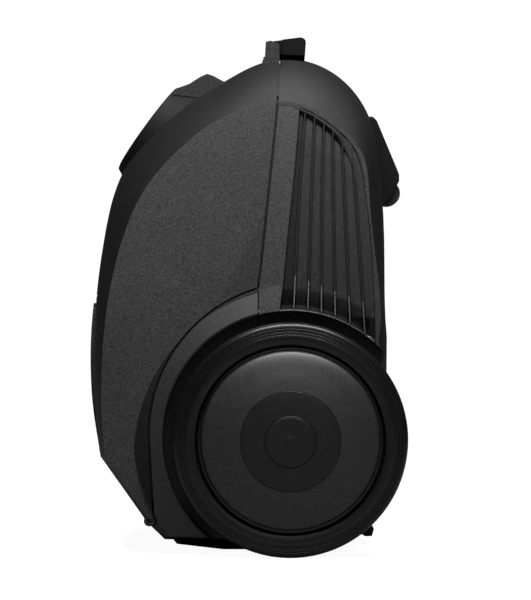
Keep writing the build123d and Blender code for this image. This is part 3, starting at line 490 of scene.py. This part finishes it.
def louvre_panel(side):
    """The grid of one exhaust panel: a flush strip, and six fins in a sunk grained ground.

    Returns the mesh, its front and back vertices by column, and each column's kind.
    """
    sign = -1.0 if side == "right" else 1.0
    shape = bmesh.new()
    columns = louvre_columns()
    top = 0.0
    front, back, kinds = [], [], []
    for count, (line, offset, kind) in enumerate(columns, 1):
        # the outer edge itself has no height of its own, and ends level with the column before it
        if count < len(columns):
            top = solve(200.0, 343.0, lambda z: z < height_over(column_x(line, offset, z)))
        low = solve(343.0, 100.0, lambda z: from_arch(column_x(line, offset, z), z) > 0.0)
        near, far = [], []
        for row in range(LOUVRE_ROWS + 1):
            share = row / LOUVRE_ROWS
            z = low + (top - low) * share**1.25
            x = column_x(line, offset, z)
            ground = ground_depth(x, z, top)
            depths = {"strip": 0.0, "fin": 0.0, "chamfer": 0.3, "groove": ground + 0.9, "ground": ground}
            depth = depths[kind]
            if row < BEAD_ROWS and kind != "strip":
                depth = EDGE_DEPTH
            sunk = kind != "strip" and from_arch(x, z) > PANEL_THICK
            rear = max(PANEL_THICK, ground + 1.5) if sunk else PANEL_THICK
            y = cheek_y(x, z)
            near.append(shape.verts.new((x * MM, sign * (y - min(depth, rear - 0.5)) * MM, z * MM)))
            far.append(shape.verts.new((x * MM, sign * (y - rear) * MM, z * MM)))
        front.append(near)
        back.append(far)
        kinds.append(kind)
    return shape, front, back, kinds


def louvre_piece(side):
    """One exhaust panel, closed all round; it stands for the CAD grille."""
    shape, front, back, kinds = louvre_panel(side)
    last = len(front) - 1
    for c in range(last):
        pair = {kinds[c], kinds[c + 1]}
        smooth = pair <= {"fin", "chamfer"}
        sunk = pair <= {"groove", "ground"}
        for r in range(LOUVRE_ROWS):
            corners = (front[c][r], front[c + 1][r], front[c + 1][r + 1], front[c][r + 1])
            face = shape.faces.new(corners)
            if c < STRIP_COLUMNS:
                face.material_index = STRIP_FACE
            elif r < BEAD_ROWS or smooth:
                face.material_index = FIN_FACE
            else:
                # sunk faces take the ground's painted shade, and the first step beside the strip a
                # darker painted shade
                face.material_index = FACET_FACE if sunk and c < FIRST_FIN else GROUND_FACE
            shape.faces.new((back[c][r], back[c][r + 1], back[c + 1][r + 1], back[c + 1][r]))
        shape.faces.new((front[c][0], back[c][0], back[c + 1][0], front[c + 1][0]))
        shape.faces.new((front[c][-1], front[c + 1][-1], back[c + 1][-1], back[c][-1]))
    for r in range(LOUVRE_ROWS):
        shape.faces.new((front[0][r], front[0][r + 1], back[0][r + 1], back[0][r]))
        shape.faces.new((front[last][r], back[last][r], back[last][r + 1], front[last][r + 1]))
    bmesh.ops.recalc_face_normals(shape, faces=shape.faces)
    mesh = bpy.data.meshes.new(f"louvre_panel_{side}")
    shape.to_mesh(mesh)
    shape.free()
    mesh.shade_smooth()
    mesh.set_sharp_from_angle(angle=math.radians(28))
    for material in PANEL_FINISHES_AND_SHADE:
        mesh.materials.append(material)
    piece = bpy.data.objects.new(f"louvre_panel_{side}", mesh)
    bpy.context.collection.objects.link(piece)
    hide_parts(f"grille_{side}")
    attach(piece, "body")


for side in ("left", "right"):
    louvre_piece(side)


def small_box(name, low, high, material):
    """A plain block between two corners in millimetres, fixed to the body."""
    shape = bmesh.new()
    bmesh.ops.create_cube(shape, size=1.0)
    for v in shape.verts:
        for axis in range(3):
            v.co[axis] = ((low[axis] + high[axis]) / 2 + v.co[axis] * (high[axis] - low[axis])) * MM
    mesh = bpy.data.meshes.new(name)
    shape.to_mesh(mesh)
    shape.free()
    mesh.materials.append(material)
    piece = bpy.data.objects.new(name, mesh)
    bpy.context.collection.objects.link(piece)
    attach(piece, "body")


# strips that shut the light out of the joints beside the fender and over the nose
for side, sign in (("left", 1.0), ("right", -1.0)):
    cheek = cheek_y(10.9, 194.0)
    y0, y1 = sorted((sign * (cheek - 4.6), sign * (cheek - 3.2)))
    small_box(f"joint_strip_{side}", (9.85, y0, 185.2), (12.0, y1, 202.0), RUBBER)
    y0, y1 = sorted((sign * 16.0, sign * 22.0))
    small_box(f"nose_strip_{side}", (27.2, y0, 377.0), (28.5, y1, 383.9), RUBBER)


# ---- wheels -------------------------------------------------------------------------
# Millimetres. Each profile is (radius, |y|) points round the section, outwards first.
DOME_PROFILE = [
    (67.2, 125.6), (66.6, 128.0), (65.2, 129.7), (60.4, 132.0), (52.2, 134.8), (45.2, 136.9),
    (37.6, 138.6),
]
RIM_PROFILE = [
    (37.6, 134.0), (20.0, 134.0), (20.0, 130.0), (6.1, 130.0), (6.1, 87.0), (13.0, 87.0),
    (13.0, 108.0), (64.0, 112.0), (73.0, 96.0), (74.5, 91.0), (79.0, 91.0), (79.0, 127.9),
    (77.2, 128.3), (71.6, 127.0), (69.4, 122.4), (67.6, 122.6),
]
TYRE_SHOULDER = [
    (88.4, 116.5), (88.4, 120.6), (87.9, 123.4), (86.7, 125.5), (85.0, 126.5), (84.2, 126.7),
]
TYRE_REST = [
    (84.0, 126.3), (83.7, 126.3), (83.5, 126.8), (81.9, 127.0), (81.7, 126.6), (81.4, 126.6),
    (81.2, 127.1), (79.1, 127.4), (79.1, 92.0), (84.0, 90.5), (87.6, 92.5), (88.4, 96.0),
]
WHEEL_STEPS = 192


def smooth_line(points, steps=6):
    """A Catmull-Rom curve through the points, never wider than the widest of them."""
    def between(p, q, r, s, t):
        square, cube = 2 * p - 5 * q + 4 * r - s, 3 * q - p - 3 * r + s
        return 0.5 * (2 * q + (r - p) * t + square * t**2 + cube * t**3)

    ends = [points[0]] + points + [points[-1]]
    curve = []
    for near in zip(ends, ends[1:], ends[2:], ends[3:]):
        for i in range(steps):
            curve.append(tuple(between(*values, i / steps) for values in zip(*near)))
    widest = max(r for r, _ in points)
    return [(min(r, widest), y) for r, y in curve + [points[-1]]]


def turned_piece(node, name, profile, materials, finish):
    """A ring or wheel turned about the axle; it stands for a CAD node.

    finish(k) is the material slot of the faces from profile point k to the next.
    """
    sign = -1.0 if node.endswith("right") else 1.0
    shape = bmesh.new()
    turns = [2 * math.pi * i / WHEEL_STEPS for i in range(WHEEL_STEPS)]
    rings = []
    for radius, y in profile:
        ring = []
        for t in turns:
            x = WHEEL[0] + radius * MM * math.cos(t)
            z = WHEEL[1] + radius * MM * math.sin(t)
            ring.append(shape.verts.new((x, sign * y * MM, z)))
        rings.append(ring)
    for k, ring in enumerate(rings):
        after = rings[(k + 1) % len(rings)]
        for i in range(WHEEL_STEPS):
            j = (i + 1) % WHEEL_STEPS
            face = shape.faces.new((ring[i], ring[j], after[j], after[i]))
            face.material_index = finish(k)
    bmesh.ops.recalc_face_normals(shape, faces=shape.faces)
    mesh = bpy.data.meshes.new(name)
    shape.to_mesh(mesh)
    shape.free()
    mesh.shade_smooth()
    mesh.set_sharp_from_angle(angle=math.radians(32))
    for material in materials:
        mesh.materials.append(material)
    piece = bpy.data.objects.new(name, mesh)
    bpy.context.collection.objects.link(piece)
    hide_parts(node)
    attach(piece, f"wheel_{node.split('_')[-1]}")


for side in ("left", "right"):
    dome = smooth_line(DOME_PROFILE)
    skin = len(dome) - 1
    turned_piece(
        f"wheel_{side}", f"domed_wheel_{side}", dome + RIM_PROFILE, (DOME, RIM),
        lambda k: 0 if k < skin else 1,
    )
    shoulder = smooth_line(TYRE_SHOULDER)
    turned_piece(
        f"tyre_{side}", f"tyre_tread_{side}", shoulder + TYRE_REST, (TYRE,),
        lambda k: 0,
    )


# ---- the dust bag -------------------------------------------------------------------
BAG_DRAW_IN = 0.0045            # metres, on each side, before it is blown up
BAG_VOXEL = 0.006
BAG_PUFF = 0.0024               # the furthest that the cloth solver may move the fleece
BAG_FRAMES = 20


def apply_modifiers(obj):
    """Puts the object's modifiers into its mesh, and clears them."""
    graph = bpy.context.evaluated_depsgraph_get()
    mesh = bpy.data.meshes.new_from_object(obj.evaluated_get(graph))
    obj.modifiers.clear()
    obj.data = mesh


def dust_bag():
    """A limp fleece bag: the CAD bag drawn in, then blown up a little by the cloth solver."""
    low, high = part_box("dust_bag")
    middle, half = (low + high) / 2, (high - low) / 2
    mesh = NODES["dust_bag"].data.copy()
    mesh.materials.clear()
    for v in mesh.vertices:
        for axis in range(3):
            v.co[axis] = middle[axis] + (v.co[axis] - middle[axis]) * (1 - BAG_DRAW_IN / half[axis])
    bag = bpy.data.objects.new("fleece_bag", mesh)
    bpy.context.collection.objects.link(bag)
    remesh = bag.modifiers.new("remesh", "REMESH")
    remesh.mode = "VOXEL"
    remesh.voxel_size = BAG_VOXEL
    apply_modifiers(bag)
    start = [v.co.copy() for v in bag.data.vertices]
    cloth = bag.modifiers.new("cloth", "CLOTH")
    cloth.settings.use_pressure = True
    cloth.settings.uniform_pressure_force = 4.0
    cloth.settings.effector_weights.gravity = 0.0
    cloth.collision_settings.use_collision = False
    scene = bpy.context.scene
    for frame_number in range(1, BAG_FRAMES + 1):
        scene.frame_set(frame_number)
    apply_modifiers(bag)
    scene.frame_set(1)
    for v, was in zip(bag.data.vertices, start):
        wrinkle = noise.noise(was * 55.0) * 0.0016 + noise.noise(was * 140.0) * 0.0005
        move = v.co - was
        if move.length > BAG_PUFF:
            move *= BAG_PUFF / move.length
        v.co = was + move + v.normal * (wrinkle - 0.0006)
    bag.modifiers.new("smooth", "SUBSURF").levels = 1
    bag.modifiers["smooth"].render_levels = 1
    apply_modifiers(bag)
    bag.data.shade_smooth()
    bag.data.materials.clear()
    bag.data.materials.append(FLEECE)
    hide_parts("dust_bag")
    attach(bag, "body")


dust_bag()


# ---- stage, light and camera --------------------------------------------------------
def area_light(name, where, at, size, power):
    data = bpy.data.lights.new(name, "AREA")
    data.shape = "RECTANGLE"
    data.size, data.size_y = size
    data.energy = power
    lamp = bpy.data.objects.new(name, data)
    bpy.context.collection.objects.link(lamp)
    lamp.location = where
    lamp.rotation_euler = (Vector(at) - Vector(where)).to_track_quat("-Z", "Y").to_euler()


FLOOR_HALF = 6.0
FLOOR_END = 2.4                 # where the floor starts to sweep up behind the object
SWEEP_R = 0.8
BACK_TOP = 5.0


def studio():
    """A pale floor that sweeps up into a back wall, and soft light from above."""
    mesh = bpy.data.meshes.new("floor")
    shape = bmesh.new()
    bend = [math.radians(9 * i) for i in range(1, 11)]
    profile = [(-FLOOR_HALF, 0.0), (FLOOR_END, 0.0)]
    profile += [(FLOOR_END + SWEEP_R * math.sin(a), SWEEP_R - SWEEP_R * math.cos(a)) for a in bend]
    profile.append((FLOOR_END + SWEEP_R, BACK_TOP))
    rows = [[shape.verts.new((x, y, z)) for x in (-FLOOR_HALF, FLOOR_HALF)] for y, z in profile]
    for a, b in zip(rows, rows[1:]):
        shape.faces.new((a[0], a[1], b[1], b[0])).smooth = True
    shape.to_mesh(mesh)
    shape.free()
    floor = bpy.data.objects.new("floor", mesh)
    bpy.context.collection.objects.link(floor)
    g = Graph("floor_paper")
    g.put(g.shader.inputs["Base Color"], g.mix(g.noise(3.0), grey(0.17), grey(0.20)))
    g.shader.inputs["Roughness"].default_value = 0.95
    g.shader.inputs["Emission Color"].default_value = (1, 1, 1, 1)
    # white where it is looked at, and dark to the object, so that it doesn't light the rims
    seen = g.add("ShaderNodeLightPath").outputs["Is Camera Ray"]
    g.put(g.shader.inputs["Emission Strength"], g.math("MULTIPLY", seen, 0.95))
    mesh.materials.append(g.material)
    world = bpy.data.worlds.new("studio")
    bpy.context.scene.world = world
    world.use_nodes = True
    background = world.node_tree.nodes["Background"]
    background.inputs["Color"].default_value = (1, 1, 1, 1)
    background.inputs["Strength"].default_value = 0.04
    area_light("overhead", (0.10, -0.55, 1.75), (0.02, 0.0, 0.25), (1.3, 1.0), 80)
    area_light("fill", (0.2, -2.6, 0.9), (0.0, 0.0, 0.2), (1.2, 1.2), 3)
    bpy.context.scene.view_settings.view_transform = "Standard"


def camera():
    """Level and square to the object's side."""
    data = bpy.data.cameras.new("camera")
    data.sensor_width = 36.0
    data.lens = 150.5
    data.clip_start, data.clip_end = 0.05, 50
    cam = bpy.data.objects.new("camera", data)
    bpy.context.collection.objects.link(cam)
    cam.location = (0.0157, -2.0, 0.1934)
    cam.rotation_euler = (math.radians(90), 0, 0)
    bpy.context.scene.camera = cam


studio()
camera()
